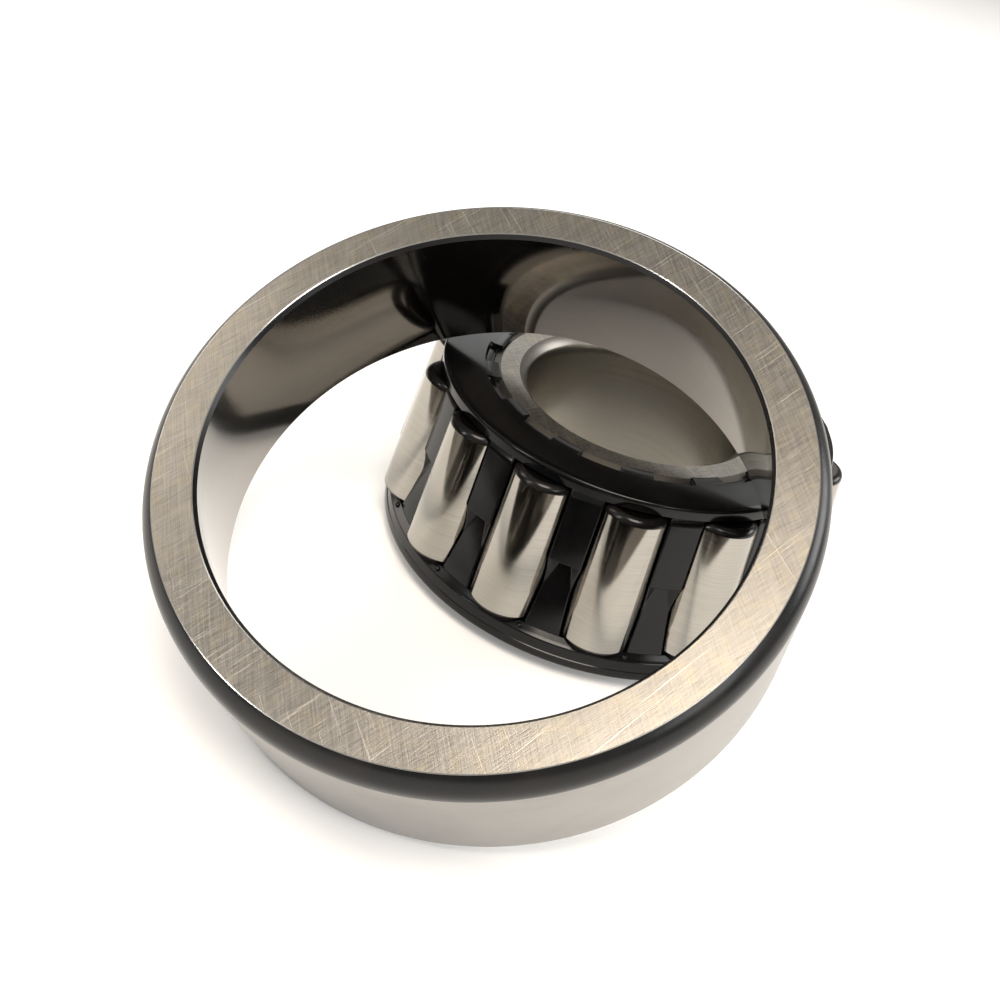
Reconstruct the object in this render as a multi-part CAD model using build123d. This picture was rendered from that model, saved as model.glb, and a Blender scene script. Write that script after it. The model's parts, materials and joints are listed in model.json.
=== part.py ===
from build123d import *
import os
from math import asin, cos, degrees, radians, sin, sqrt, tan

# Separable tapered roller bearing, in millimetres.
# The inner ring stands upright on its wide face with the cage and rollers round it. The outer ring
# has been taken off and leans on the cage: its low edge is on the bench and its raised edge is on
# the cage's upper flange. The origin is on the bearing axis, halfway up the inner ring, and +Z
# points along that axis, out of the inner ring's narrow face. The outer ring leans towards -Y.

# ---------------------------------------------------------------- driving sizes
BORE_DIAMETER = 35.0
OUTER_DIAMETER = 80.0
INNER_RING_WIDTH = 28.5
OUTER_RING_WIDTH = 23.6
ASSEMBLED_WIDTH = 30.9
BORE_CHAMFER = 1.5

# Raceway cones. All of them share one apex on the bearing axis, so the rollers roll without slip.
OUTER_RACEWAY_ANGLE = 8.5
OUTER_RING_WALL = 7.1
ROLLER_HALF_TAPER = 1.2

ROLLER_COUNT = 14
ROLLER_LARGE_END_SETBACK = 5.75
ROLLER_SMALL_END_SETBACK = 1.03
ROLLER_LARGE_END_RADIUS = 0.5
ROLLER_SMALL_END_RADIUS = 1.0
FIRST_ROLLER_AZIMUTH = -113.2

# Inner ring
NARROW_FACE_RIM = 3.1
SMALL_RIB_HEIGHT = 0.8
SMALL_RIB_WIDTH = 0.5
LARGE_RIB_HEIGHT = 3.0
LARGE_RIB_CORNER = 1.0
RELIEF_WIDTH = 0.9
RELIEF_DEPTH = 0.3

# Outer ring
OUTER_RING_BACK_CORNER_RADIAL = 1.93
OUTER_RING_BACK_CORNER_AXIAL = 3.1
OUTER_RING_FRONT_CHAMFER = 0.7
OUTER_RING_BORE_CHAMFER = 0.7

# Outer ring at rest: its raised edge crosses the cage flange this far to each side of -Y
REST_POINT_AZIMUTH = 60.6

# Cage
CAGE_FLANGE_OUTSIDE_PITCH = 2.7
CAGE_FLANGE_RISE = 1.2
CAGE_FLANGE_DISH = 0.6
CAGE_FLANGE_RIM = 1.5
CAGE_BAR_OUTSIDE_PITCH = 2.4
CAGE_BASE_OUTSIDE_PITCH = 3.85
CAGE_BASE_HEIGHT = 2.0
CAGE_BASE_RIM = 3.0
CAGE_STEP_SLOPE = 1.0
CAGE_DEPTH_INSIDE_PITCH = 0.3
CAGE_EDGE_BREAK = 0.3

# Clearances
ROLLER_TO_RACEWAY = 0.03
ROLLER_TO_RIB = 0.05
ROLLER_TO_SMALL_RIB = 0.25
POCKET_SIDE = 0.20
POCKET_END = 0.25
CAGE_TO_INNER_RING = 0.30
LEANING_GAP = 0.30

# ---------------------------------------------------------------- derived geometry
BORE_RADIUS = BORE_DIAMETER / 2
NARROW_FACE_RADIUS = BORE_RADIUS + BORE_CHAMFER + NARROW_FACE_RIM
OUTER_RADIUS = OUTER_DIAMETER / 2
BENCH = -INNER_RING_WIDTH / 2
NARROW_FACE = INNER_RING_WIDTH / 2

ROLLER_AXIS_ANGLE = OUTER_RACEWAY_ANGLE - ROLLER_HALF_TAPER
INNER_RACEWAY_ANGLE = ROLLER_AXIS_ANGLE - ROLLER_HALF_TAPER
SEATED_BACK_FACE = BENCH + ASSEMBLED_WIDTH
APEX_HEIGHT = SEATED_BACK_FACE + (OUTER_RADIUS - OUTER_RING_WALL) / tan(radians(OUTER_RACEWAY_ANGLE))

# Distances along a roller's own axis, measured from the apex.
ROLLER_LARGE_END = (APEX_HEIGHT - BENCH - ROLLER_LARGE_END_SETBACK) / cos(radians(ROLLER_AXIS_ANGLE))
ROLLER_SMALL_END = (APEX_HEIGHT - NARROW_FACE + ROLLER_SMALL_END_SETBACK) / cos(radians(ROLLER_AXIS_ANGLE))

CAGE_FLANGE_TOP = NARROW_FACE + CAGE_FLANGE_RISE
CAGE_BASE = BENCH + CAGE_BASE_HEIGHT


def on_cone(height, angle):
    """Radius at a height of the cone with the given half angle through the common apex."""
    return (APEX_HEIGHT - height) * tan(radians(angle))


def across_roller(distance, offset):
    """Radius and height of a point at a distance from the apex along the roller, offset outwards."""
    angle = radians(ROLLER_AXIS_ANGLE)
    radius = distance * sin(angle) + offset * cos(angle)
    height = APEX_HEIGHT - distance * cos(angle) + offset * sin(angle)
    return radius, height


def cage_radius(height, outside_pitch):
    """Radius of a cage surface that stands a given depth outside the cone of the roller axes."""
    return on_cone(height, ROLLER_AXIS_ANGLE) + outside_pitch


def small_rib():
    """Lower height and radius of the inner ring's small rib, just past the rollers' small ends."""
    height = across_roller(ROLLER_SMALL_END, -roller_radius(ROLLER_SMALL_END))[1] + ROLLER_TO_SMALL_RIB
    return height, on_cone(height, INNER_RACEWAY_ANGLE) + SMALL_RIB_HEIGHT


def lathe(outline):
    """Solid of revolution about Z from a closed outline drawn in the XZ plane."""
    return revolve(make_face(outline), axis=Axis.Z)


def polygon(points):
    """Closed outline in the XZ plane through (radius, height) points."""
    return Polyline(*[(radius, 0, height) for radius, height in points], close=True)


# ---------------------------------------------------------------- inner ring
def inner_ring():
    """Ring with its bore, raceway, two guide ribs and the reliefs beside the raceway."""
    foot_radius, foot_height = across_roller(ROLLER_LARGE_END + ROLLER_TO_RIB, -roller_radius(ROLLER_LARGE_END))
    lip_radius, lip_height = across_roller(
        ROLLER_LARGE_END + ROLLER_TO_RIB, LARGE_RIB_HEIGHT - roller_radius(ROLLER_LARGE_END)
    )
    rib_height, rib_radius = small_rib()
    relief_radius = rib_radius - SMALL_RIB_HEIGHT - RELIEF_DEPTH
    raceway_top = rib_height - RELIEF_WIDTH
    raceway_foot = foot_height + RELIEF_WIDTH
    return lathe(polygon([
        (BORE_RADIUS, BENCH + BORE_CHAMFER),
        (BORE_RADIUS + BORE_CHAMFER, BENCH),
        (lip_radius - LARGE_RIB_CORNER, BENCH),
        (lip_radius, BENCH + LARGE_RIB_CORNER),
        (lip_radius, lip_height),
        (foot_radius - RELIEF_DEPTH, foot_height),
        (foot_radius - RELIEF_DEPTH, raceway_foot),
        (on_cone(raceway_foot, INNER_RACEWAY_ANGLE), raceway_foot),
        (on_cone(raceway_top, INNER_RACEWAY_ANGLE), raceway_top),
        (relief_radius, raceway_top),
        (relief_radius, rib_height),
        (rib_radius, rib_height),
        (rib_radius, rib_height + SMALL_RIB_WIDTH),
        (NARROW_FACE_RADIUS, NARROW_FACE),
        (BORE_RADIUS + BORE_CHAMFER, NARROW_FACE),
        (BORE_RADIUS, NARROW_FACE - BORE_CHAMFER),
    ]))


# ---------------------------------------------------------------- rollers
def roller_radius(distance):
    """Radius of a roller at a distance from the apex along its axis, with its raceway clearance."""
    return distance * tan(radians(ROLLER_HALF_TAPER)) - ROLLER_TO_RACEWAY


def roller_placement(index):
    """Location whose origin is the apex and whose Z runs down the axis of one roller."""
    azimuth = FIRST_ROLLER_AZIMUTH + index * 360 / ROLLER_COUNT
    return Location((0, 0, APEX_HEIGHT), (0, 0, azimuth)) * Location((0, 0, 0), (0, 180 - ROLLER_AXIS_ANGLE, 0))


def frustum(start, end, grow):
    """Cone between two distances from the apex along Z, wider than a roller by grow."""
    return lathe(polygon([
        (0, start),
        (roller_radius(start) + grow, start),
        (roller_radius(end) + grow, end),
        (0, end),
    ]))


def roller():
    """One tapered roller along Z from the apex, with rounded end corners."""
    body = frustum(ROLLER_SMALL_END, ROLLER_LARGE_END, 0)
    rims = body.edges().filter_by(GeomType.CIRCLE).sort_by(Axis.Z)
    body = fillet(rims[-1], ROLLER_LARGE_END_RADIUS)
    rims = body.edges().filter_by(GeomType.CIRCLE).sort_by(Axis.Z)
    return fillet(rims[0], ROLLER_SMALL_END_RADIUS)


# ---------------------------------------------------------------- cage
def cage():
    """One-piece cage: base ring, upper flange that hooks over the small rib, and a pocket per roller."""
    rib_height, rib_radius = small_rib()
    skirt_radius = rib_radius + CAGE_TO_INNER_RING
    lip_radius = NARROW_FACE_RADIUS + CAGE_TO_INNER_RING
    rim_underside = CAGE_FLANGE_TOP - CAGE_FLANGE_RIM
    base_top = CAGE_BASE + CAGE_BASE_RIM
    flange_radius = cage_radius(CAGE_FLANGE_TOP, CAGE_FLANGE_OUTSIDE_PITCH)
    base_radius = cage_radius(CAGE_BASE, CAGE_BASE_OUTSIDE_PITCH)
    step_top = base_top + CAGE_STEP_SLOPE
    rim_foot = rim_underside - CAGE_STEP_SLOPE
    body = lathe(polygon([
        (cage_radius(CAGE_BASE, -CAGE_DEPTH_INSIDE_PITCH), CAGE_BASE),
        (base_radius - CAGE_EDGE_BREAK, CAGE_BASE),
        (base_radius, CAGE_BASE + CAGE_EDGE_BREAK),
        (cage_radius(base_top, CAGE_BASE_OUTSIDE_PITCH), base_top),
        (cage_radius(step_top, CAGE_BAR_OUTSIDE_PITCH), step_top),
        (cage_radius(rim_foot, CAGE_BAR_OUTSIDE_PITCH), rim_foot),
        (cage_radius(rim_underside, CAGE_FLANGE_OUTSIDE_PITCH), rim_underside),
        (flange_radius, CAGE_FLANGE_TOP - CAGE_EDGE_BREAK),
        (flange_radius - CAGE_EDGE_BREAK, CAGE_FLANGE_TOP),
        (lip_radius, CAGE_FLANGE_TOP - CAGE_FLANGE_DISH),
        (lip_radius, NARROW_FACE + CAGE_TO_INNER_RING / 2),
        (skirt_radius, rib_height + SMALL_RIB_WIDTH + CAGE_TO_INNER_RING / 2),
        (skirt_radius, rib_height),
        (cage_radius(rib_height, -CAGE_DEPTH_INSIDE_PITCH), rib_height),
    ]))
    pocket = frustum(ROLLER_SMALL_END - POCKET_END, ROLLER_LARGE_END + POCKET_END, POCKET_SIDE)
    return body - [roller_placement(index) * pocket for index in range(ROLLER_COUNT)]


# ---------------------------------------------------------------- outer ring
def outer_ring():
    """Outer ring about Z with its front face at zero and its wide back face up."""
    raceway_top = OUTER_RING_WIDTH - OUTER_RING_BORE_CHAMFER
    back_edge = OUTER_RADIUS - OUTER_RING_BACK_CORNER_RADIAL
    corner_start = OUTER_RING_WIDTH - OUTER_RING_BACK_CORNER_AXIAL
    small_radius = on_cone(SEATED_BACK_FACE - OUTER_RING_BORE_CHAMFER, OUTER_RACEWAY_ANGLE)
    outline = Polyline(
        (back_edge, 0, OUTER_RING_WIDTH),
        (small_radius + OUTER_RING_BORE_CHAMFER / 2, 0, OUTER_RING_WIDTH),
        (small_radius, 0, raceway_top),
        (front_raceway_radius(), 0, 0),
        (OUTER_RADIUS - OUTER_RING_FRONT_CHAMFER, 0, 0),
        (OUTER_RADIUS, 0, OUTER_RING_FRONT_CHAMFER),
        (OUTER_RADIUS, 0, corner_start),
    )
    corner = TangentArc(
        (OUTER_RADIUS, 0, corner_start),
        (back_edge, 0, OUTER_RING_WIDTH),
        tangent=(0, 0, 1),
    )
    return lathe(outline + corner)


def front_raceway_radius():
    """Radius of the outer ring's raceway where it meets the front face."""
    return on_cone(SEATED_BACK_FACE - OUTER_RING_WIDTH, OUTER_RACEWAY_ANGLE)


def leaning_place():
    """Where the outer ring leans: low edge on the bench, inner front edge just over the cage flange."""
    low_edge = OUTER_RADIUS - OUTER_RING_FRONT_CHAMFER
    rest_height = CAGE_FLANGE_TOP + LEANING_GAP - BENCH
    flange_radius = cage_radius(CAGE_FLANGE_TOP, CAGE_FLANGE_OUTSIDE_PITCH)
    half_chord = flange_radius * sin(radians(REST_POINT_AZIMUTH))
    along_face = sqrt(front_raceway_radius() ** 2 - half_chord ** 2)
    lean = asin(rest_height / (low_edge + along_face))
    centre_y = -flange_radius * cos(radians(REST_POINT_AZIMUTH)) - along_face * cos(lean)
    return Location((0, centre_y, BENCH + low_edge * sin(lean)), (degrees(lean), 0, 0))


# ---------------------------------------------------------------- files
def write(name, shape):
    """Write one piece under its own name."""
    export_step(shape, f"parts/{name}.step")


os.makedirs("parts", exist_ok=True)
write("inner_ring", inner_ring())
write("cage", cage())
write("outer_ring", leaning_place() * outer_ring())
ROLLER = roller()
for number in range(ROLLER_COUNT):
    write(f"roller_{number + 1:02d}", roller_placement(number) * ROLLER)
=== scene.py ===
import json
import logging
import math
from dataclasses import dataclass, field
from enum import IntEnum

import bmesh
import bpy
import numpy as np
from mathutils import Matrix, Vector


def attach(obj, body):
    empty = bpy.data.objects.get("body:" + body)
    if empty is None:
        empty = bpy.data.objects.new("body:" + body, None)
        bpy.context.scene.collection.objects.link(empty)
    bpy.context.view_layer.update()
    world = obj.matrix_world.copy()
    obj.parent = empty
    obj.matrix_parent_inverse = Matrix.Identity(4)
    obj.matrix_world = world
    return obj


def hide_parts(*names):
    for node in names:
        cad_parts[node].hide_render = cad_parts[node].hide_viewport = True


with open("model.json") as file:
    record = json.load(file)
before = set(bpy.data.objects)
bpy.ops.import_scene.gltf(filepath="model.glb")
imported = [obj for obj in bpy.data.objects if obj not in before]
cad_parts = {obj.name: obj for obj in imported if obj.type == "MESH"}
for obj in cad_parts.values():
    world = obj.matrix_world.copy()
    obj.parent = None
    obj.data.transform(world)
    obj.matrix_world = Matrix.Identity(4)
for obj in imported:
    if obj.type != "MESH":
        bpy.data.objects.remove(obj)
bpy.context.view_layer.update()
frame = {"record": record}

LOG = logging.getLogger("bearing")
MM = 0.001
WELD = 1e-7  # metres: points closer than this are one point
BUMP_DEPTH = 0.04 * MM
QUARTER_BULGE = 0.41  # rise over half the chord of a quarter circle


# ---------------------------------------------------------------- helpers
class OuterFinish(IntEnum):
    """The outer ring's finishes, in the order of their material slots."""

    GROUND_FACE = 0
    HEAT_SCALE = 1
    SATIN_OUTSIDE = 2
    HONED_RACEWAY = 3
    # edge breaks in lighter steel: partly their polish, partly a painted highlight line
    EDGE_POLISH_AND_PAINTED_HIGHLIGHT = 4


class InnerFinish(IntEnum):
    """The inner ring's finishes, in the order of their material slots."""

    GROUND_FACE = 0
    POLISHED_BORE = 1
    RACEWAY = 2
    TURNED_RIB = 3
    TURNED_CHAMFER = 4


class RollerFinish(IntEnum):
    """A roller's finishes, in the order of their material slots."""

    POLISHED_WALL = 0
    CORNER = 1
    SMALL_END = 2
    LARGE_END = 3


def linear(hex_colour: str) -> tuple[float, float, float, float]:
    """Turn an sRGB hex colour into linear RGBA.

    Args:
        hex_colour: six hex digits, with or without a leading hash.

    Returns:
        Red, green, blue and an alpha of one, as linear values.
    """
    digits = hex_colour.lstrip("#")
    channels = [int(digits[i:i + 2], 16) / 255 for i in (0, 2, 4)]
    values = [c / 12.92 if c <= 0.04045 else ((c + 0.055) / 1.055) ** 2.4 for c in channels]
    return (values[0], values[1], values[2], 1.0)


def add_node(tree: bpy.types.NodeTree, kind: str, links: dict | None = None,
             stops: list[tuple[float, tuple]] | None = None, **settings) -> bpy.types.Node:
    """Add one shader node with its settings, input values and incoming links.

    Args:
        tree: the material's node tree.
        kind: the node's type name, without its "ShaderNode" prefix.
        links: input name or index to a value, or to an output socket to link from.
        stops: position and linear colour of a colour ramp's two stops.
        **settings: properties of the node itself.

    Returns:
        The new node.
    """
    node = tree.nodes.new("ShaderNode" + kind)
    for name, value in settings.items():
        setattr(node, name, value)
    for key, value in (links or {}).items():
        if isinstance(value, bpy.types.NodeSocket):
            tree.links.new(value, node.inputs[key])
        else:
            node.inputs[key].default_value = value
    for number, (position, colour) in enumerate(stops or []):
        node.color_ramp.elements[number].position = position
        node.color_ramp.elements[number].color = colour
    return node


def grey(value: float) -> tuple[float, float, float, float]:
    """Return a linear grey with an alpha of one."""
    return (value, value, value, 1.0)


# ---------------------------------------------------------------- profiles and lathed surfaces
@dataclass
class Profile:
    """An outline in radius and height, walked anticlockwise, with a finish for each stretch."""

    points: list[tuple[float, float]] = field(default_factory=list)
    finishes: list[int] = field(default_factory=list)
    sharp: list[bool] = field(default_factory=list)

    def start(self, radius: float, height: float) -> "Profile":
        """Set the outline's first corner."""
        self.points = [(radius, height)]
        self.sharp = [True]
        return self

    def line(self, radius: float, height: float, finish: int, steps: int = 1,
             sharp: bool = True) -> "Profile":
        """Walk straight to a corner.

        Args:
            radius: the corner's radius.
            height: the corner's height.
            finish: index of the stretch's finish.
            steps: how many equal spans the stretch is cut into.
            sharp: whether the corner at its end keeps a crisp edge.

        Returns:
            The profile itself.
        """
        start = np.array(self.points[-1])
        spans = np.linspace(0, 1, steps + 1)[1:, None]
        self.points += (start + spans * (np.array([radius, height]) - start)).tolist()
        self.finishes += [finish] * steps
        self.sharp += [False] * (steps - 1) + [sharp]
        return self

    def arc(self, radius: float, height: float, bulge: float, finish: int, steps: int = 8,
            sharp: bool = False) -> "Profile":
        """Walk along a circular arc to a corner.

        The arc's height over its chord is bulge times half the chord. Its points are the chord's
        points moved sideways: with u from -1 to 1 along the chord and R = (1 + b^2) / 2b, the
        offset is the square root of R^2 - u^2, less R - b, all in half chords.

        Args:
            radius: the end's radius.
            height: the end's height.
            bulge: rise over half the chord, positive to the right of the walk.
            finish: index of the stretch's finish.
            steps: how many equal angles the arc is cut into.
            sharp: whether the corner at its end keeps a crisp edge.

        Returns:
            The profile itself.
        """
        start, end = np.array(self.points[-1]), np.array([radius, height])
        half = (end - start) / 2
        side = np.array([half[1], -half[0]])
        rise = abs(bulge)
        big = (1 + rise * rise) / (2 * rise)
        reach = math.asin(min(1.0, 1 / big))
        reach = math.pi - reach if rise > 1 else reach
        angles = np.linspace(-reach, reach, steps + 1)[1:, None]
        along = big * np.sin(angles)
        over = (big * np.cos(angles) - big + rise) * math.copysign(1, bulge)
        self.points += ((start + end) / 2 + along * half + over * side).tolist()
        self.finishes += [finish] * steps
        self.sharp += [False] * (steps - 1) + [sharp]
        return self


def surface(name: str, points: np.ndarray, faces: np.ndarray, uvs: np.ndarray, finishes: np.ndarray,
            sharp: np.ndarray, materials: list[bpy.types.Material]) -> bpy.types.Object:
    """Make a mesh object from whole arrays; points that share a place are welded, so poles close.

    Args:
        name: the object's name.
        points: vertex places in metres, n by 3.
        faces: vertex numbers of each quad, m by 4.
        uvs: the place on the pattern of each quad's four corners, m by 4 by 2, in metres.
        finishes: material index of each quad.
        sharp: pairs of vertex numbers whose edge stays crisp, k by 2.
        materials: the finishes, in the order of their indices.

    Returns:
        The new object, linked to the scene.
    """
    mesh = bpy.data.meshes.new(name)
    mesh.vertices.add(len(points))
    mesh.vertices.foreach_set("co", points.astype(np.float32).ravel())
    mesh.loops.add(faces.size)
    mesh.loops.foreach_set("vertex_index", faces.astype(np.int32).ravel())
    mesh.polygons.add(len(faces))
    mesh.polygons.foreach_set("loop_start", np.arange(0, faces.size, 4, dtype=np.int32))
    mesh.update(calc_edges=True)
    mesh.polygons.foreach_set("use_smooth", np.ones(len(faces), bool))
    mesh.polygons.foreach_set("material_index", finishes.astype(np.int32))
    layer = mesh.uv_layers.new(name="UVMap")
    layer.data.foreach_set("uv", uvs.astype(np.float32).ravel())
    if len(sharp):
        edges = np.empty(len(mesh.edges) * 2, np.int64)
        mesh.edges.foreach_get("vertices", edges)
        edges = np.sort(edges.reshape(-1, 2), axis=1)
        span = len(points)
        wanted = np.sort(sharp, axis=1)
        crisp = np.isin(edges[:, 0] * span + edges[:, 1], wanted[:, 0] * span + wanted[:, 1])
        attribute = mesh.attributes.new("sharp_edge", "BOOLEAN", "EDGE")
        attribute.data.foreach_set("value", crisp)
    for material in materials:
        mesh.materials.append(material)
    skin = bmesh.new()
    skin.from_mesh(mesh)
    bmesh.ops.remove_doubles(skin, verts=skin.verts, dist=WELD)
    skin.to_mesh(mesh)
    skin.free()
    mesh.validate()
    mesh.update()
    piece = bpy.data.objects.new(name, mesh)
    bpy.context.scene.collection.objects.link(piece)
    return piece


def quads(turn: np.ndarray, step: np.ndarray, turns: int, count: int) -> np.ndarray:
    """Number the corners of the quads between neighbouring outlines of a grid of points.

    Args:
        turn: each quad's outline.
        step: each quad's place along its outline.
        turns: how many outlines there are.
        count: how many points an outline has.

    Returns:
        The vertex numbers, m by 4.
    """
    next_turn, next_step = (turn + 1) % turns, (step + 1) % count
    return np.stack([
        turn * count + step, next_turn * count + step,
        next_turn * count + next_step, turn * count + next_step,
    ], axis=-1).reshape(-1, 4)


def lathe(name: str, profile: Profile, turns: int, place: Matrix,
          materials: list[bpy.types.Material]) -> bpy.types.Object:
    """Carry a profile round the Z axis: a closed outline, or an open one that starts and ends on it.

    A point at radius r and height h stands at (r cos a, r sin a, h) for each of the equal angles a,
    and then goes through the piece's place. The pattern's first coordinate is the angle times the
    profile's mean radius, and the second is the length walked along the profile.

    Args:
        name: the object's name.
        profile: the outline, in millimetres.
        turns: how many spans go round.
        place: where the piece stands, in metres.
        materials: the finishes, in the order of their indices.

    Returns:
        The new object.
    """
    walk = np.array(profile.points)
    outline = walk[:-1] if np.allclose(walk[0], walk[-1]) else walk
    count = len(outline)
    angles = np.arange(turns) * 2 * math.pi / turns
    ring = np.stack([
        np.outer(np.cos(angles), outline[:, 0]),
        np.outer(np.sin(angles), outline[:, 0]),
        np.tile(outline[:, 1], (turns, 1)),
    ], axis=-1).reshape(-1, 3) * MM
    turn, step = np.meshgrid(np.arange(turns), np.arange(len(walk) - 1), indexing="ij")
    faces = quads(turn, step, turns, count)
    walked = np.concatenate([[0], np.cumsum(np.hypot(*np.diff(walk, axis=0).T))])
    mean_radius = outline[:, 0].mean()
    around = 2 * math.pi / turns * mean_radius * MM
    uvs = np.stack([
        np.stack([turn * around, walked[step] * MM], -1),
        np.stack([(turn + 1) * around, walked[step] * MM], -1),
        np.stack([(turn + 1) * around, walked[step + 1] * MM], -1),
        np.stack([turn * around, walked[step + 1] * MM], -1),
    ], axis=-2).reshape(-1, 4, 2)
    finishes = np.tile(np.array(profile.finishes), turns)
    crisp = np.nonzero(np.array(profile.sharp[:count]))[0]
    turn_crisp, step_crisp = np.meshgrid(np.arange(turns), crisp, indexing="ij")
    sharp = np.stack([
        turn_crisp * count + step_crisp,
        (turn_crisp + 1) % turns * count + step_crisp,
    ], axis=-1).reshape(-1, 2)
    matrix = np.array(place)
    placed = ring @ matrix[:3, :3].T + matrix[:3, 3]
    return surface(name, placed, faces, uvs, finishes, sharp, materials)


# ---------------------------------------------------------------- finishes
def blank(name: str) -> tuple[bpy.types.Material, bpy.types.NodeTree, bpy.types.Node]:
    """Make a material that holds only a Principled shader and its output.

    Args:
        name: the material's name.

    Returns:
        The material, its node tree and the shader node.
    """
    material = bpy.data.materials.new(name)
    material.use_nodes = True
    tree = material.node_tree
    tree.nodes.clear()
    shader = add_node(tree, "BsdfPrincipled")
    add_node(tree, "OutputMaterial", {"Surface": shader.outputs["BSDF"]})
    return material, tree, shader


def stretched_noise(tree: bpy.types.NodeTree, coordinates: bpy.types.NodeSocket, angle: float,
                    width_mm: float, length_mm: float, detail: float = 2.0) -> bpy.types.NodeSocket:
    """Draw long thin marks that lie at one angle.

    Args:
        tree: the material's node tree.
        coordinates: the pattern's coordinates, in metres.
        angle: turn of the marks about Z, in degrees.
        width_mm: width of a mark.
        length_mm: length of a mark.
        detail: octaves of the noise.

    Returns:
        The noise value's socket.
    """
    turned = add_node(tree, "Mapping", {
        "Vector": coordinates,
        "Rotation": (0, 0, math.radians(angle)),
    }, vector_type="POINT")
    scaled = add_node(tree, "Mapping", {
        "Vector": turned.outputs["Vector"],
        "Scale": (1000 / width_mm, 1000 / length_mm, 1000 / width_mm),
    }, vector_type="POINT")
    noise = add_node(tree, "TexNoise", {
        "Vector": scaled.outputs["Vector"],
        "Scale": 1.0,
        "Detail": detail,
        "Roughness": 0.6,
    })
    return noise.outputs["Fac"]


@dataclass(frozen=True)
class GroundFace:
    """Surface-ground bearing steel: fine crossing grinding lines, a few long scratches, and painted
    glints of warm lamp colour.

    The lines are some 0.02 mm wide on the real face and are drawn 0.075 mm wide or more, the least
    that still shows.
    """

    name: str
    tilt: float
    colour: str = "A7A29A"
    dark: str = "6A6660"
    # painted glint colour: the warm key lamp's tint, laid in specks on the grinding lines
    painted_glint_colour: str = "A89B7C"
    line_width_mm: float = 0.075
    line_length_mm: float = 5.0
    scratch_width_mm: float = 0.3
    scratch_length_mm: float = 26.0
    roughness: float = 0.36
    lays: tuple[float, ...] = (14.0, 27.0, -47.0)
    scratches: tuple[float, ...] = (17.0, -58.0)
    cloud_mm: float = 14.286
    glint_speck_mm: float = 1.923
    base_tone: float = 0.05
    line_share: float = 0.62
    cloud_share: float = 0.34
    scratch_share: float = 0.35

    def material(self) -> bpy.types.Material:
        """Build the material."""
        material, tree, shader = blank(self.name)
        flat = add_node(tree, "Mapping", {
            "Vector": add_node(tree, "TexCoord").outputs["Object"],
            "Rotation": (-self.tilt, 0, 0),
        }, vector_type="POINT").outputs["Vector"]
        lines = 0.0
        for number, angle in enumerate(self.lays):
            lay = stretched_noise(tree, flat, angle, self.line_width_mm * (1 + 0.35 * number),
                                  self.line_length_mm, 3.0)
            lines = add_node(tree, "Math", {0: lay, 1: lines}, operation="ADD").outputs[0]
        mean = add_node(tree, "Math", {0: lines, 1: 1 / len(self.lays)}, operation="MULTIPLY")
        grain = add_node(tree, "ValToRGB", {"Fac": mean.outputs[0]},
                         [(0.36, grey(0.0)), (0.64, grey(1.0))]).outputs["Color"]
        long = 0.0
        for angle in self.scratches:
            marks = stretched_noise(tree, flat, angle, self.scratch_width_mm,
                                    self.scratch_length_mm, 1.0)
            mark = add_node(tree, "ValToRGB", {"Fac": marks},
                            [(0.68, grey(0.0)), (0.72, grey(1.0))]).outputs["Color"]
            long = add_node(tree, "Math", {0: mark, 1: long}, operation="MAXIMUM").outputs[0]
        cloud = add_node(tree, "TexNoise", {
            "Vector": flat, "Scale": 1000 / self.cloud_mm, "Detail": 3.0,
        }).outputs["Fac"]
        tone = self.base_tone
        for part, share in (
            (grain, self.line_share), (cloud, self.cloud_share), (long, self.scratch_share),
        ):
            tone = add_node(tree, "Math", {0: part, 1: share, 2: tone},
                            operation="MULTIPLY_ADD").outputs[0]
        colour = add_node(tree, "ValToRGB", {"Fac": tone},
                          [(0.1, linear(self.dark)), (0.95, linear(self.colour))])
        # painted glints: sparse warm specks, masked to the grinding lines and mixed into the base colour
        tint = add_node(tree, "TexNoise", {
            "Vector": flat, "Scale": 1000 / self.glint_speck_mm, "Detail": 2.0,
        }).outputs["Fac"]
        painted_glints = add_node(tree, "ValToRGB", {"Fac": tint},
                          [(0.5, grey(0.0)), (0.68, grey(0.4))]).outputs["Color"]
        painted_glint_mask = add_node(tree, "Math", {0: painted_glints, 1: grain}, operation="MULTIPLY")
        mixed = add_node(tree, "Mix", {
            "Factor": painted_glint_mask.outputs[0],
            6: colour.outputs["Color"],
            7: linear(self.painted_glint_colour),
        }, data_type="RGBA")
        tree.links.new(mixed.outputs[2], shader.inputs["Base Color"])
        rough = add_node(tree, "Math", {0: grain, 1: 0.12, 2: self.roughness - 0.06},
                         operation="MULTIPLY_ADD")
        tree.links.new(rough.outputs[0], shader.inputs["Roughness"])
        height = add_node(tree, "Math", {0: grain, 1: long}, operation="ADD").outputs[0]
        bump = add_node(tree, "Bump", {"Height": height, "Strength": 0.22, "Distance": BUMP_DEPTH})
        tree.links.new(bump.outputs["Normal"], shader.inputs["Normal"])
        shader.inputs["Metallic"].default_value = 1.0
        return material


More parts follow.
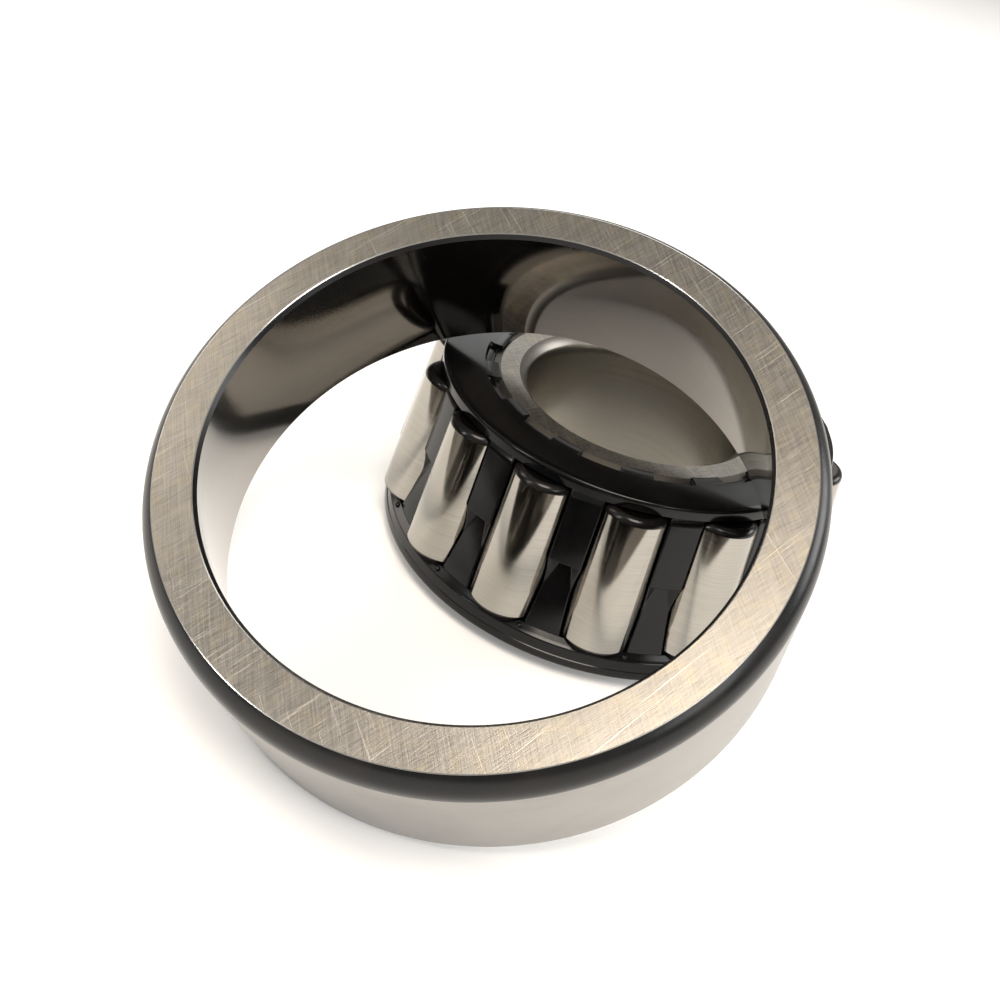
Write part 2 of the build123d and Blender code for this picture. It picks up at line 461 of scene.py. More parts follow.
@dataclass(frozen=True)
class TurnedSteel:
    """Ground or honed bearing steel on a round wall, with faint marks that run round the ring.

    The pattern follows the piece's own UV map, which is in metres round and along the wall.
    """

    name: str
    colour: str
    dark: str
    roughness: float
    mark_width_mm: float = 0.12
    mark_length_mm: float = 30.0
    bump: float = 0.05
    stain: float = 0.2
    stain_mm: float = 9.0

    def material(self) -> bpy.types.Material:
        """Build the material."""
        material, tree, shader = blank(self.name)
        walked = add_node(tree, "UVMap", uv_map="UVMap").outputs["UV"]
        place = add_node(tree, "TexCoord").outputs["Object"]
        marks = stretched_noise(tree, walked, 90.0, self.mark_width_mm, self.mark_length_mm, 3.0)
        stains = add_node(tree, "TexNoise", {
            "Vector": place,
            "Scale": 1000 / self.stain_mm,
            "Detail": 4.0,
            "Roughness": 0.55,
        }).outputs["Fac"]
        cover = add_node(tree, "ValToRGB", {"Fac": stains},
                         [(0.45, grey(0.0)), (0.75, grey(self.stain))]).outputs["Color"]
        shine = add_node(tree, "ValToRGB", {"Fac": marks},
                         [(0.25, grey(0.45)), (0.7, grey(1.0))]).outputs["Color"]
        blend = add_node(tree, "Math", {0: shine, 1: cover}, operation="SUBTRACT").outputs[0]
        colour = add_node(tree, "ValToRGB", {"Fac": blend},
                          [(0.0, linear(self.dark)), (1.0, linear(self.colour))])
        tree.links.new(colour.outputs["Color"], shader.inputs["Base Color"])
        rough = add_node(tree, "Math", {0: marks, 1: 0.1, 2: self.roughness - 0.05},
                         operation="MULTIPLY_ADD")
        tree.links.new(rough.outputs[0], shader.inputs["Roughness"])
        bump = add_node(tree, "Bump", {"Height": marks, "Strength": self.bump, "Distance": BUMP_DEPTH})
        tree.links.new(bump.outputs["Normal"], shader.inputs["Normal"])
        shader.inputs["Metallic"].default_value = 1.0
        return material


@dataclass(frozen=True)
class HeatScale:
    """Black hardening scale left on an unground corner: dark, slightly brown, with a soft gloss."""

    name: str
    colour: str = "0C0D0E"
    worn: str = "1A1715"
    roughness: float = 0.27
    grain_mm: float = 1.111
    patch_mm: float = 7.143

    def material(self) -> bpy.types.Material:
        """Build the material."""
        material, tree, shader = blank(self.name)
        place = add_node(tree, "TexCoord").outputs["Object"]
        grain = add_node(tree, "TexNoise", {
            "Vector": place, "Scale": 1000 / self.grain_mm, "Detail": 4.0,
        }).outputs["Fac"]
        patch = add_node(tree, "TexNoise", {
            "Vector": place, "Scale": 1000 / self.patch_mm, "Detail": 3.0,
        }).outputs["Fac"]
        colour = add_node(tree, "ValToRGB", {"Fac": patch},
                          [(0.42, linear(self.colour)), (0.72, linear(self.worn))])
        tree.links.new(colour.outputs["Color"], shader.inputs["Base Color"])
        rough = add_node(tree, "Math", {0: patch, 1: 0.22, 2: self.roughness - 0.1},
                         operation="MULTIPLY_ADD")
        tree.links.new(rough.outputs[0], shader.inputs["Roughness"])
        bump = add_node(tree, "Bump", {"Height": grain, "Strength": 0.12, "Distance": 0.00005})
        tree.links.new(bump.outputs["Normal"], shader.inputs["Normal"])
        shader.inputs["Metallic"].default_value = 0.1
        shader.inputs["Specular IOR Level"].default_value = 0.32
        return material


@dataclass(frozen=True)
class MouldedNylon:
    """Glossy black moulded polyamide: a dark body under a smooth skin with very faint flow marks."""

    name: str
    colour: str = "070708"
    pale: str = "0D0D0E"
    roughness: float = 0.14
    flow_mm: float = 6.25
    skin_mm: float = 0.7143

    def material(self) -> bpy.types.Material:
        """Build the material."""
        material, tree, shader = blank(self.name)
        place = add_node(tree, "TexCoord").outputs["Object"]
        flow = add_node(tree, "TexNoise", {
            "Vector": place, "Scale": 1000 / self.flow_mm, "Detail": 3.0,
        }).outputs["Fac"]
        skin = add_node(tree, "TexNoise", {
            "Vector": place, "Scale": 1000 / self.skin_mm, "Detail": 2.0,
        }).outputs["Fac"]
        colour = add_node(tree, "ValToRGB", {"Fac": flow},
                          [(0.3, linear(self.colour)), (0.8, linear(self.pale))])
        tree.links.new(colour.outputs["Color"], shader.inputs["Base Color"])
        rough = add_node(tree, "Math", {0: flow, 1: 0.16, 2: self.roughness - 0.06},
                         operation="MULTIPLY_ADD")
        tree.links.new(rough.outputs[0], shader.inputs["Roughness"])
        bump = add_node(tree, "Bump", {"Height": skin, "Strength": 0.05, "Distance": 0.00003})
        tree.links.new(bump.outputs["Normal"], shader.inputs["Normal"])
        shader.inputs["IOR"].default_value = 1.53
        shader.inputs["Specular IOR Level"].default_value = 0.26
        return material


# ---------------------------------------------------------------- the bearing's own geometry
@dataclass(frozen=True)
class Cones:
    """The cones that every raceway, roller and cage surface lies on. They share one apex."""

    outer_angle: float = 8.5
    half_taper: float = 1.2
    assembled_width: float = 30.9
    outer_radius: float = 40.0
    outer_wall: float = 7.1
    inner_width: float = 28.5
    large_setback: float = 5.75
    small_setback: float = 1.03
    raceway_gap: float = 0.03

    @property
    def bench(self) -> float:
        """Height of the inner ring's wide face."""
        return -self.inner_width / 2

    @property
    def axis_angle(self) -> float:
        """Tilt of a roller's axis, in degrees."""
        return self.outer_angle - self.half_taper

    @property
    def inner_angle(self) -> float:
        """Half angle of the inner raceway, in degrees."""
        return self.axis_angle - self.half_taper

    @property
    def apex(self) -> float:
        """Height of the common apex."""
        small_radius = self.outer_radius - self.outer_wall
        reach = small_radius / math.tan(math.radians(self.outer_angle))
        return self.bench + self.assembled_width + reach

    @property
    def large_end(self) -> float:
        """Distance from the apex to the rollers' large ends, along their axis."""
        return (self.apex - self.bench - self.large_setback) / math.cos(math.radians(self.axis_angle))

    @property
    def small_end(self) -> float:
        """Distance from the apex to the rollers' small ends, along their axis."""
        return (self.apex + self.bench + self.small_setback) / math.cos(math.radians(self.axis_angle))

    def radius(self, height: float, angle: float) -> float:
        """Radius at a height of the cone with the given half angle."""
        return (self.apex - height) * math.tan(math.radians(angle))

    def roller_radius(self, distance: float) -> float:
        """Radius of a roller at a distance from the apex along its axis."""
        return distance * math.tan(math.radians(self.half_taper)) - self.raceway_gap

    def across(self, distance: float, offset: float) -> tuple[float, float]:
        """Radius and height of a point beside a roller's axis, offset outwards."""
        angle = math.radians(self.axis_angle)
        return (
            distance * math.sin(angle) + offset * math.cos(angle),
            self.apex - distance * math.cos(angle) + offset * math.sin(angle),
        )


CONES = Cones()


@dataclass
class OuterRing:
    """The separate outer ring, leaning with its low edge on the bench."""

    width: float = 23.6
    corner_radial: float = 1.93
    corner_axial: float = 3.1
    front_chamfer: float = 0.7
    bore_chamfer: float = 0.7
    edge_break: float = 0.12
    turns: int = 512

    def lean(self) -> tuple[float, Matrix]:
        """Find the ring's lean and place from the frame's mount on its outside.

        Returns:
            The lean in radians, and the matrix that carries the ring from its own axes.
        """
        mount = next(m for m in frame["record"]["mounts"] if m["name"] == "outer_ring_outside")
        axis = Vector(mount["axis"])
        angle = math.atan2(-axis.y, axis.z)
        middle = (self.front_chamfer + self.width - self.corner_axial) / 2 * MM
        foot = Vector(mount["pos_m"]) - axis * middle
        return angle, Matrix.Translation(foot) @ Matrix.Rotation(angle, 4, "X")

    def build(self) -> bpy.types.Object:
        """Build and dress the ring.

        Returns:
            The ring's object.
        """
        angle, place = self.lean()
        outer, small = CONES.outer_radius, CONES.radius(
            CONES.bench + CONES.assembled_width - self.bore_chamfer, CONES.outer_angle)
        front = CONES.radius(CONES.bench + CONES.assembled_width - self.width, CONES.outer_angle)
        back_edge = outer - self.corner_radial
        tip = self.edge_break
        materials = [
            GroundFace("ground_face_steel", angle).material(),
            HeatScale("heat_scale").material(),
            TurnedSteel("satin_outside_steel", "8F8B85", "6F6B66", 0.30, bump=0.08,
                        stain=0.35).material(),
            TurnedSteel("honed_raceway_steel", "96928D", "7D7976", 0.085, bump=0.02,
                        stain=0.12).material(),
            # edge breaks: lighter steel, partly their polish and partly a painted highlight line along
            # each edge
            TurnedSteel("edge_steel_painted_highlight", "C8C5C0", "B4B1AC", 0.26, bump=0.0).material(),
        ]
        face, scale, outside, raceway, edge = OuterFinish
        profile = Profile().start(small, self.width - self.bore_chamfer)
        profile.line(front - tip, tip * 1.2, raceway, 24)
        profile.arc(front + tip, 0, QUARTER_BULGE, edge, 4, True)
        profile.line(outer - self.front_chamfer, 0, face, 4)
        profile.line(outer, self.front_chamfer, scale, 2)
        profile.line(outer, self.width - self.corner_axial, outside, 12, False)
        profile.arc(back_edge + tip, self.width - tip * 0.4, 0.27, scale, 20, True)
        profile.line(back_edge, self.width, edge, 2)
        profile.line(small + self.bore_chamfer / 2 + tip, self.width, face, 8)
        profile.line(small + self.bore_chamfer / 2, self.width - tip, edge, 2)
        profile.line(small, self.width - self.bore_chamfer, scale, 4)
        piece = lathe("outer_ring_surface", profile, self.turns, place, materials)
        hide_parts("outer_ring")
        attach(piece, "outer_ring")
        return piece


@dataclass
class InnerRing:
    """The inner ring, upright on its wide face."""

    bore_radius: float = 17.5
    bore_chamfer: float = 1.5
    rim: float = 3.1
    small_rib_height: float = 0.8
    small_rib_width: float = 0.5
    large_rib_height: float = 3.0
    large_rib_corner: float = 1.0
    relief_width: float = 0.9
    relief_depth: float = 0.3
    edge_break: float = 0.12
    large_end_gap: float = 0.05
    small_end_gap: float = 0.25
    turns: int = 384

    def build(self) -> bpy.types.Object:
        """Build and dress the ring.

        Returns:
            The ring's object.
        """
        cones = CONES
        top = -cones.bench
        large, small = cones.roller_radius(cones.large_end), cones.roller_radius(cones.small_end)
        foot = cones.across(cones.large_end + self.large_end_gap, -large)
        lip = cones.across(cones.large_end + self.large_end_gap, self.large_rib_height - large)
        rib_height = cones.across(cones.small_end, -small)[1] + self.small_end_gap
        rib_radius = cones.radius(rib_height, cones.inner_angle) + self.small_rib_height
        relief = rib_radius - self.small_rib_height - self.relief_depth
        chamfered = self.bore_radius + self.bore_chamfer
        tip = self.edge_break
        race_top, race_foot = rib_height - self.relief_width, foot[1] + self.relief_width
        materials = [
            GroundFace("narrow_face_steel", 0.0, "A5A199", "55524D", line_width_mm=0.13,
                       line_length_mm=3.0, scratch_length_mm=9.0, roughness=0.42).material(),
            TurnedSteel("polished_bore_steel", "ACA89F", "8E8A82", 0.25, mark_length_mm=60.0,
                        bump=0.015, stain=0.1).material(),
            TurnedSteel("inner_raceway_steel", "8F8B86", "75726E", 0.14, bump=0.03).material(),
            TurnedSteel("turned_rib_steel", "6F6B67", "4C4946", 0.3).material(),
            TurnedSteel("turned_chamfer_steel", "827E77", "63605B", 0.36).material(),
        ]
        face, bore, raceway, rib, chamfer = InnerFinish
        profile = Profile().start(self.bore_radius, cones.bench + self.bore_chamfer)
        profile.line(chamfered, cones.bench, chamfer, 3)
        profile.line(lip[0] - self.large_rib_corner, cones.bench, face, 6)
        profile.arc(lip[0], cones.bench + self.large_rib_corner, QUARTER_BULGE, rib, 8)
        profile.line(*lip, rib, 4)
        profile.line(foot[0] - self.relief_depth, foot[1], raceway, 4)
        profile.line(foot[0] - self.relief_depth, race_foot, rib, 2)
        profile.line(cones.radius(race_foot, cones.inner_angle), race_foot, rib)
        profile.line(cones.radius(race_top, cones.inner_angle), race_top, raceway, 16)
        profile.line(relief, race_top, rib)
        profile.line(relief, rib_height, rib, 2)
        profile.line(rib_radius, rib_height, rib)
        profile.line(rib_radius, rib_height + self.small_rib_width, rib, 2)
        profile.line(chamfered + self.rim + tip, top - tip * 0.6, chamfer, 6)
        profile.line(chamfered + self.rim - tip, top, chamfer, 2)
        profile.line(chamfered, top, face, 4)
        profile.arc(self.bore_radius, top - self.bore_chamfer, 0.12, chamfer, 6)
        profile.line(self.bore_radius, cones.bench + self.bore_chamfer, bore, 16)
        piece = lathe("inner_ring_surface", profile, self.turns, Matrix.Identity(4), materials)
        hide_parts("inner_ring")
        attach(piece, "inner_ring")
        return piece


@dataclass
class Rollers:
    """The tapered rollers, each about its own tilted axis."""

    count: int = 14
    first_azimuth: float = -113.2
    large_corner: float = 0.5
    small_corner: float = 1.0
    dimple_radius: float = 2.4
    dimple_depth: float = 0.25
    dimple_bulge: float = 0.1
    turns: int = 128

    def profile(self) -> Profile:
        """Outline of one roller, in radius and distance from the apex, with a shallow end dimple."""
        small, large = CONES.small_end, CONES.large_end
        slope = math.tan(math.radians(CONES.half_taper))
        wall_start = CONES.roller_radius(small + self.small_corner)
        wall_end = CONES.roller_radius(large - self.large_corner)
        wall, corner, small_face, large_face = RollerFinish
        outline = Profile().start(0.0, small + self.dimple_depth)
        outline.arc(self.dimple_radius, small, -self.dimple_bulge, small_face, 6, True)
        outline.line(wall_start - self.small_corner, small, small_face, 3, False)
        outline.arc(wall_start, small + self.small_corner * (1 + slope), QUARTER_BULGE, corner, 10, True)
        outline.line(wall_end, large - self.large_corner, wall, 20, True)
        outline.arc(wall_end - self.large_corner, large, QUARTER_BULGE, corner, 8, True)
        outline.line(self.dimple_radius, large, large_face, 3, True)
        outline.arc(0.0, large - self.dimple_depth, -self.dimple_bulge, large_face, 6, True)
        return outline

    def build(self) -> list[bpy.types.Object]:
        """Build and dress every roller.

        Returns:
            The rollers' objects.
        """
        outline = self.profile()
        materials = [
            TurnedSteel("polished_roller_steel", "ABA79F", "8F8B84", 0.11, mark_width_mm=0.2,
                        mark_length_mm=12.0, bump=0.03, stain=0.05).material(),
            HeatScale("roller_corner_scale", "0E0D0D", "1B1817", 0.2).material(),
            TurnedSteel("roller_small_end_steel", "4A4744", "2E2C2A", 0.3).material(),
            TurnedSteel("roller_large_end_steel", "A5A19C", "85817C", 0.2).material(),
        ]
        pieces = []
        for number in range(self.count):
            azimuth = math.radians(self.first_azimuth + number * 360 / self.count)
            place = (
                Matrix.Translation((0, 0, CONES.apex * MM))
                @ Matrix.Rotation(azimuth, 4, "Z")
                @ Matrix.Rotation(math.radians(180 - CONES.axis_angle), 4, "Y")
            )
            name = f"roller_{number + 1:02d}"
            piece = lathe(f"{name}_surface", outline, self.turns, place, materials)
            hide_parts(name)
            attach(piece, name)
            pieces.append(piece)
        return pieces


@dataclass
class Cage:
    """The moulded cage: a flange over the small rib, a base ring, and a bar between each two rollers."""

    count: int = 14
    first_azimuth: float = -113.2
    side_gap: float = 0.2
    end_gap: float = 0.25
    inside: float = 0.3
    bite_in_flange: float = 0.25
    bite_in_base: float = 0.35
    bar_height: float = 2.4
    base_height: float = 3.85
    base_bottom: float = -12.25
    base_rim: float = 3.0
    base_round: float = 0.35
    parting_height: float = 1.35
    parting_step: float = 0.12
    flange_radius: float = 31.05
    flange_top: float = 15.45
    flange_dish: float = 0.6
    flange_round: float = 0.35
    lip_radius: float = 22.4
    lip_round: float = 0.12
    lip_depth: float = 0.42
    tab_slope: tuple[tuple[float, float], ...] = ((25.2, 0.18), (24.6, 0.13), (24.1, 0.08))
    gap_slope: tuple[tuple[float, float], ...] = (
        (24.25, -0.55), (23.5, -0.66), (23.4, -0.72), (23.4, -0.8))
    hook_height: float = 13.5
    rib_radius: float = 24.64
    tab_width: float = 11.8
    tab_shift: float = 1.2
    scoop_low: float = 1.0
    scoop_high: float = 2.75
    scoop_start: float = 0.5
    facet_length: float = 0.4
    scoop_neck: float = 0.3
    edge_round: float = 0.16
    nub_radius: float = 0.45
    nub_height: float = 3.2
    nub_squash: float = 0.75
    nub_turn: float = 0.7
    turns: int = 14 * 56

    def half_width(self, distance: np.ndarray, height: np.ndarray) -> np.ndarray:
        """Work out how far round a bar reaches, from its own middle to the pocket wall.

        A point at distance s from the apex and height w over the cone of the roller axes, turned by
        an angle t from a roller, stands rho sin t beside that roller's axis, with
        rho = s sin A + w cos A, and n = w (cos^2 A cos t + sin^2 A) - s sin A cos A (1 - cos t)
        above it. The pocket wall is where the two make the roller's radius and its gap. The angle
        is found by repeating t = asin(sqrt(wall^2 - n^2) / rho).

        Args:
            distance: distances from the apex, in millimetres.
            height: heights over the cone of the roller axes.

        Returns:
            The angles, in radians.
        """
        tilt = math.radians(CONES.axis_angle)
        wall = CONES.roller_radius(distance) + self.side_gap
        rho = distance * math.sin(tilt) + height * math.cos(tilt)
        turned = np.arcsin(wall / rho)
        for _ in range(8):
            above = (height * (math.cos(tilt) ** 2 * np.cos(turned) + math.sin(tilt) ** 2)
                     - distance * math.sin(tilt) * math.cos(tilt) * (1 - np.cos(turned)))
            turned = np.arcsin(np.sqrt(np.maximum(wall ** 2 - above ** 2, 0)) / rho)
        return math.pi / self.count - turned

    def scoop(self, part: np.ndarray, across: np.ndarray) -> np.ndarray:
        """Height of a bar's outer face.

        The upper part is level. Below the step a flat scoop starts low and narrow, rises and widens
        towards the base, and has a slanting facet on each side up to the bar's edge.

        Args:
            part: place along the bar, 0 at the flange and 1 at the base.
            across: place across the bar, -1 to 1.

        Returns:
            Heights over the cone of the roller axes.
        """
        lower = np.clip((part - self.scoop_start) / (1 - self.scoop_start), 0, 1)
        floor = self.scoop_low + (self.scoop_high - self.scoop_low) * lower
        facet = np.clip(lower / self.facet_length, 0, 1)
        neck = self.scoop_neck + (1 - self.scoop_neck) * facet
        rise = np.clip((np.abs(across) - neck) / np.maximum(1 - neck, 1e-6), 0, 1)
        edge = self.bar_height + (floor - self.bar_height) * facet
        level = floor + (edge - floor) * rise
        return np.where(part <= self.scoop_start, self.bar_height, level)

    def bars(self, material: bpy.types.Material) -> bpy.types.Object:
        """Build the bars: each is a closed tube of cross-sections, carried from the flange to the base.

        Args:
            material: the moulded plastic.

        Returns:
            The bars as one object.
        """
        start = CONES.small_end - self.end_gap - self.bite_in_flange
        end = CONES.large_end + self.end_gap + self.bite_in_base
        step = self.scoop_start
        parts = np.unique(np.concatenate([
            np.linspace(0, step - 0.02, 8), [step - 0.006, step - 0.001, step + 0.002, step + 0.006],
            step + 0.008 + np.linspace(0, 1, 26) * (1 - step - 0.008),
        ]))
        side, top, foot = 9, 33, 5
        walls = np.linspace(0, 1, side + 2)[1:-1]
        tops = np.linspace(-1, 1, top)
        feet = np.linspace(-1, 1, foot)
        across = np.concatenate([feet, np.ones(side), tops[::-1], -np.ones(side)])
        lift = np.concatenate([np.zeros(foot), walls, np.ones(top), walls[::-1]])
        on_top = np.concatenate([np.zeros(foot + side), np.ones(top), np.zeros(side)]).astype(bool)
        part, place = np.meshgrid(parts, np.arange(len(across)), indexing="ij")
        distance = start + part * (end - start)
        edge = self.scoop(part, np.ones_like(part))
        height = -self.inside + (edge + self.inside - self.edge_round) * lift[place]
        level = self.scoop(part, across[place])
        rounding = self.edge_round * (np.abs(across[place]) > 0.999)
        height = np.where(on_top[place], level - rounding, height)
        wide = self.half_width(distance, np.where(on_top[place], edge - self.edge_round, height))
        swing = wide * across[place]
        tilt = math.radians(CONES.axis_angle)
        radius = distance * math.sin(tilt) + height * math.cos(tilt)
        z = CONES.apex - distance * math.cos(tilt) + height * math.sin(tilt)
        middles = np.radians(self.first_azimuth + (np.arange(self.count) + 0.5) * 360 / self.count)
        angle = middles[:, None, None] + swing[None]
        points = np.stack([
            radius[None] * np.cos(angle), radius[None] * np.sin(angle), np.broadcast_to(z, angle.shape),
        ], axis=-1).reshape(-1, 3) * MM
        rows, columns = part.shape
        row, column = np.meshgrid(np.arange(rows - 1), np.arange(columns), indexing="ij")
        tube = quads(row, column, rows, columns)
        rung = np.arange(columns // 2 - 1)
        cap = np.stack([rung, rung + 1, columns - 2 - rung, columns - 1 - rung], axis=-1)
        one = np.vstack([tube, cap, cap[:, ::-1] + (rows - 1) * columns])[:, ::-1]
        faces = (one[None] + (np.arange(self.count) * rows * columns)[:, None, None]).reshape(-1, 4)
        return surface("cage_bars", points, faces, np.zeros((len(faces), 4, 2)),
                       np.zeros(len(faces), int), np.empty((0, 2), int), [material])

    def flange(self, material: bpy.types.Material) -> bpy.types.Object:
        """Build the flange: a ring whose lip stands over the inner ring's rim in a tab at each roller.

        The outline is carried round, and its lip corners move from their place in a gap to their
        place in a tab where the angle lies within half a tab of a roller.

        Args:
            material: the moulded plastic.

        Returns:
            The flange.
        """
        seat = CONES.small_end - self.end_gap
        lip = self.flange_top - self.flange_dish
        foot = CONES.across(seat, self.rib_radius - CONES.across(seat, 0)[0])
        rim = CONES.across(seat, self.bar_height)
        wall = self.flange_radius
        profile = Profile().start(self.rib_radius, foot[1])
        profile.line(*rim, 0, 6)
        profile.line(wall, self.flange_top - self.flange_round, 0, 3, False)
        profile.arc(wall - self.flange_round, self.flange_top, QUARTER_BULGE, 0, 6)
        for number, (radius, rise) in enumerate(self.tab_slope):
            profile.line(radius, lip + rise, 0, 1 if number else 6, number > 0)
        profile.line(self.lip_radius + self.lip_round, lip, 0, 1, False)
        profile.line(self.lip_radius, lip - 0.1, 0, 1, False)
        profile.line(self.lip_radius, lip - self.lip_depth, 0, 1)
        profile.line(self.rib_radius, self.hook_height, 0, 3)
        profile.line(self.rib_radius, foot[1], 0, 1)
        tab = np.array(profile.points[:-1])
        gap = tab.copy()
        lip_points = np.nonzero((tab[:, 0] < 24.2) & (tab[:, 1] > lip - 0.5))[0]
        gap[lip_points] = [(radius, lip + rise) for radius, rise in self.gap_slope]
        pitch = 360 / self.count
        angles = np.arange(self.turns) * 360 / self.turns
        away = (angles - self.first_azimuth + self.tab_shift + pitch / 2) % pitch - pitch / 2
        in_tab = (np.abs(away) < self.tab_width / 2).astype(float)[:, None, None]
        outline = gap[None] + (tab - gap)[None] * in_tab
        turned = np.radians(angles)[:, None]
        points = np.stack([
            outline[..., 0] * np.cos(turned), outline[..., 0] * np.sin(turned), outline[..., 1],
        ], axis=-1).reshape(-1, 3) * MM
        count = len(tab)
        turn, step = np.meshgrid(np.arange(self.turns), np.arange(count), indexing="ij")
        faces = quads(turn, step, self.turns, count)
        crisp = np.nonzero(np.array(profile.sharp[:-1]))[0]
        turn, step = np.meshgrid(np.arange(self.turns), crisp, indexing="ij")
        next_turn = (turn + 1) % self.turns
        around = np.stack([turn * count + step, next_turn * count + step], -1).reshape(-1, 2)
        edges = np.nonzero(in_tab[:, 0, 0] != np.roll(in_tab[:, 0, 0], 1))[0]
        sides = np.concatenate([edges, (edges - 1) % self.turns])
        side, step = np.meshgrid(sides, lip_points[:-1], indexing="ij")
        down = np.stack([side * count + step, side * count + step + 1], -1).reshape(-1, 2)
        return surface("cage_flange", points, faces, np.zeros((len(faces), 4, 2)),
                       np.zeros(len(faces), int), np.vstack([around, down]), [material])

    def base(self, material: bpy.types.Material) -> bpy.types.Object:
        """Build the base ring, with the fine parting line of its mould.

        Args:
            material: the moulded plastic.

        Returns:
            The base ring.
        """
        seat = CONES.large_end + self.end_gap
        tilt = CONES.axis_angle
        bottom, top = self.base_bottom, self.base_bottom + self.base_rim
        parting = bottom + self.parting_height
        foot = CONES.radius(bottom, tilt)
        outside = CONES.radius(parting, tilt) + self.base_height
        profile = Profile().start(foot - self.inside, bottom)
        profile.line(foot + self.base_height - self.base_round, bottom, 0, 4, False)
        profile.arc(foot + self.base_height, bottom + self.base_round, 0.35, 0, 5)
        profile.line(outside, parting, 0, 2)
        profile.line(outside - self.parting_step, parting + 0.08, 0, 1)
        profile.line(CONES.radius(top - 0.2, tilt) + self.base_height - self.parting_step,
                     top - 0.2, 0, 2)
        profile.arc(CONES.radius(top, tilt) + self.base_height - 0.3, top + 0.1, 0.3, 0, 4)
        profile.line(*CONES.across(seat, self.scoop_high), 0, 3)
        profile.line(*CONES.across(seat, -self.inside), 0, 4)
        profile.line(foot - self.inside, bottom, 0, 3)
        return lathe("cage_base", profile, 448, Matrix.Identity(4), [material])

    def nubs(self, material: bpy.types.Material) -> bpy.types.Object:
        """Build the small round nubs left at each window's lower corner by the mould's pins.

        Each is a squashed ball: (cos a cos b, sin a cos b, sin b) times its radius.

        Args:
            material: the moulded plastic.

        Returns:
            The nubs as one object.
        """
        columns, rows = 20, 12
        angle, rise = np.meshgrid(np.arange(columns) * 2 * math.pi / columns,
                                  np.linspace(-1, 1, rows) * math.pi / 2, indexing="ij")
        ball = np.stack([
            np.cos(angle) * np.cos(rise), np.sin(angle) * np.cos(rise), self.nub_squash * np.sin(rise),
        ], axis=-1).reshape(-1, 3) * self.nub_radius
        seat = CONES.large_end + self.end_gap + self.bite_in_base
        radius, height = CONES.across(seat, self.nub_height)
        corner = math.degrees(self.half_width(np.array(CONES.large_end), np.array(self.bar_height)))
        corner += self.nub_turn
        turned = (np.arange(self.count) + 0.5) * 360 / self.count
        places = np.radians(self.first_azimuth + turned - corner)
        middles = np.stack([
            radius * np.cos(places), radius * np.sin(places), np.full(self.count, height),
        ], axis=-1)
        points = (middles[:, None] + ball[None]).reshape(-1, 3) * MM
        column, row = np.meshgrid(np.arange(columns), np.arange(rows - 1), indexing="ij")
        skin = quads(column, row, columns, rows)
        faces = (skin[None] + (np.arange(self.count) * rows * columns)[:, None, None]).reshape(-1, 4)
        return surface("cage_nubs", points, faces, np.zeros((len(faces), 4, 2)),
                       np.zeros(len(faces), int), np.empty((0, 2), int), [material])

    def build(self) -> list[bpy.types.Object]:
        """Build and dress the cage.

        Returns:
            The cage's pieces.
        """
        material = MouldedNylon("moulded_black_nylon").material()
        pieces = [self.flange(material), self.bars(material), self.base(material), self.nubs(material)]
        for piece in pieces:
            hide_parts("cage")
            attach(piece, "cage")
        return pieces


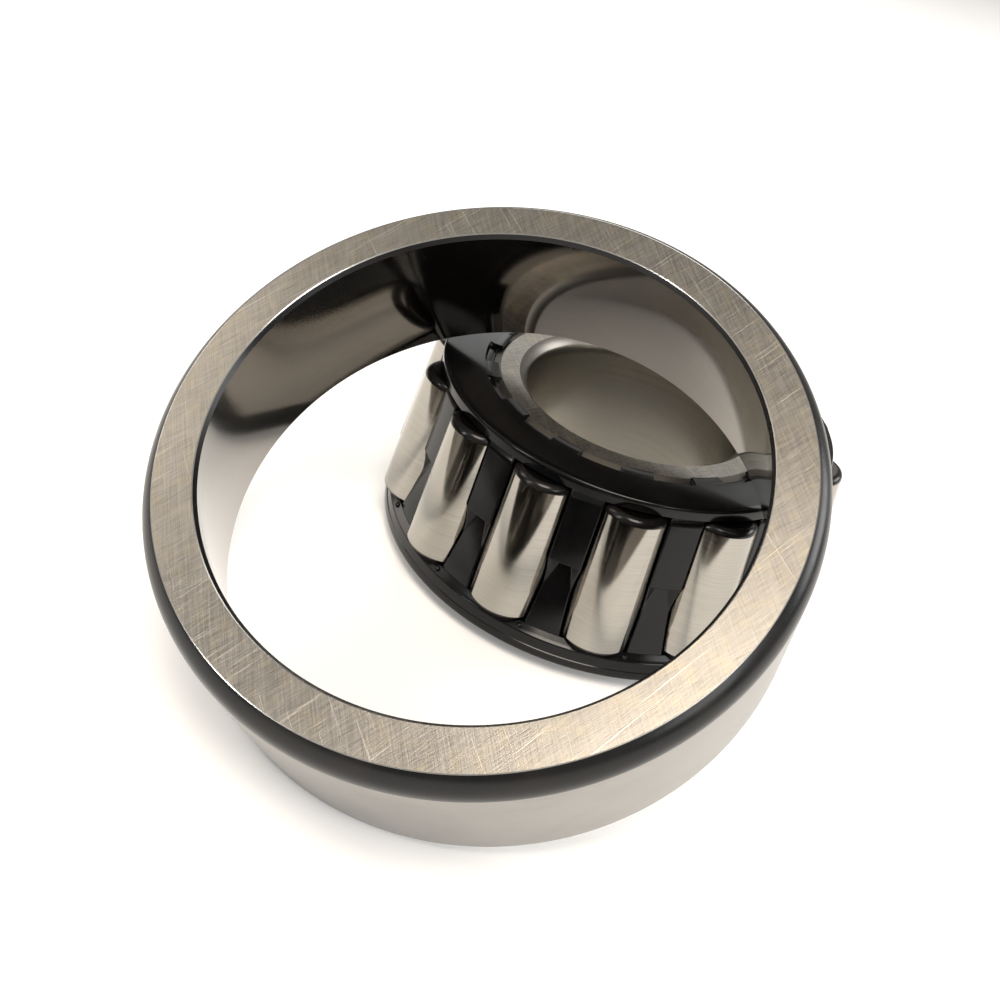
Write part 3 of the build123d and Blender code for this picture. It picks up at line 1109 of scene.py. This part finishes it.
@dataclass
class Studio:
    """A plain pale floor, soft lights and the camera."""

    floor_reach: float = 10.0
    floor_gap: float = 0.05
    camera_place: tuple[float, float, float] = (0.045382, -0.135582, 0.088009)
    camera_forward: tuple[float, float, float] = (-0.345929, 0.739719, -0.57719)
    camera_right: tuple[float, float, float] = (0.806371, 0.548898, 0.220175)
    lens_mm: float = 36.57
    sensor_mm: float = 36.0

    def floor(self) -> bpy.types.Object:
        """Make the floor just under the rings."""
        height = (CONES.bench - self.floor_gap) * MM
        reach = self.floor_reach
        material, tree, shader = blank("pale_floor")
        place = add_node(tree, "TexCoord").outputs["Object"]
        cloud = add_node(tree, "TexNoise", {"Vector": place, "Scale": 3.0}).outputs["Fac"]
        colour = add_node(tree, "ValToRGB", {"Fac": cloud}, [(0.3, grey(0.86)), (0.7, grey(0.9))])
        tree.links.new(colour.outputs["Color"], shader.inputs["Base Color"])
        shader.inputs["Roughness"].default_value = 0.9
        shader.inputs["Specular IOR Level"].default_value = 0.1
        shader.inputs["Emission Color"].default_value = linear("F7F5F1")
        shader.inputs["Emission Strength"].default_value = 0.16
        mesh = bpy.data.meshes.new("floor")
        corners = [(x * reach, y * reach, height) for x, y in ((-1, -1), (1, -1), (1, 1), (-1, 1))]
        mesh.from_pydata(corners, [], [(0, 1, 2, 3)])
        mesh.materials.append(material)
        piece = bpy.data.objects.new("floor", mesh)
        bpy.context.scene.collection.objects.link(piece)
        return piece

    def lamp(self, name: str, place: tuple[float, float, float], target: tuple[float, float, float],
             size: tuple[float, float], watts: float, tint: str = "FFFFFF") -> bpy.types.Object:
        """Hang one rectangular soft light.

        Args:
            name: the light's name.
            place: where it hangs, in metres.
            target: the point it faces.
            size: its width and height, in metres.
            watts: its power.
            tint: its colour.

        Returns:
            The light's object.
        """
        light = bpy.data.lights.new(name, "AREA")
        light.shape = "RECTANGLE"
        light.size, light.size_y = size
        light.energy = watts
        light.color = linear(tint)[:3]
        holder = bpy.data.objects.new(name, light)
        holder.location = place
        holder.rotation_euler = (Vector(target) - Vector(place)).to_track_quat("-Z", "Y").to_euler()
        bpy.context.scene.collection.objects.link(holder)
        return holder

    def lights(self) -> None:
        """Hang the lights and set the room's dim surround."""
        middle = (0.0, -0.02, 0.0)
        self.lamp("ceiling_softbox", (0.16, -0.3, 0.9), middle, (0.42, 0.42), 7.4, "FFF4E6")
        self.lamp("back_softbox", (0.95, 0.85, 0.6), middle, (0.7, 0.5), 7.5)
        self.lamp("left_softbox", (-0.95, -0.1, 0.6), middle, (0.5, 0.6), 4.2, "FFF6EA")
        self.lamp("right_softbox", (0.95, -0.25, 0.6), middle, (0.4, 0.6), 4.2)
        self.lamp("far_fill", (-0.45, 1.0, 0.8), middle, (0.7, 0.4), 2.2)
        self.lamp("thin_strip", (-0.40, -0.66, 0.42), middle, (0.035, 0.6), 1.6)
        world = bpy.data.worlds.new("studio_surround")
        world.use_nodes = True
        background = world.node_tree.nodes["Background"]
        background.inputs["Color"].default_value = linear("B8B6B2")
        background.inputs["Strength"].default_value = 0.85
        bpy.context.scene.world = world
        bpy.context.scene.view_settings.view_transform = "Standard"

    def camera(self) -> bpy.types.Object:
        """Set the camera up.

        Returns:
            The camera's object.
        """
        data = bpy.data.cameras.new("camera")
        data.lens = self.lens_mm
        data.sensor_width = self.sensor_mm
        data.clip_start, data.clip_end = 0.005, 20
        forward, right = Vector(self.camera_forward).normalized(), Vector(self.camera_right).normalized()
        up = right.cross(forward)
        turn = Matrix((right, up, -forward)).transposed()
        holder = bpy.data.objects.new("camera", data)
        holder.matrix_world = Matrix.Translation(self.camera_place) @ turn.to_4x4()
        bpy.context.scene.collection.objects.link(holder)
        bpy.context.scene.camera = holder
        return holder

    def build(self) -> None:
        """Set out the whole studio."""
        self.floor()
        self.lights()
        self.camera()


def main() -> None:
    """Build the bearing piece by piece, then the studio."""
    logging.basicConfig(level=logging.INFO)
    for sub_assembly in (InnerRing(), Rollers(), Cage(), OuterRing()):
        made = sub_assembly.build()
        for piece in made if isinstance(made, list) else [made]:
            LOG.info("%s: %d faces", piece.name, len(piece.data.polygons))
    Studio().build()


if __name__ == "__main__":
    main()
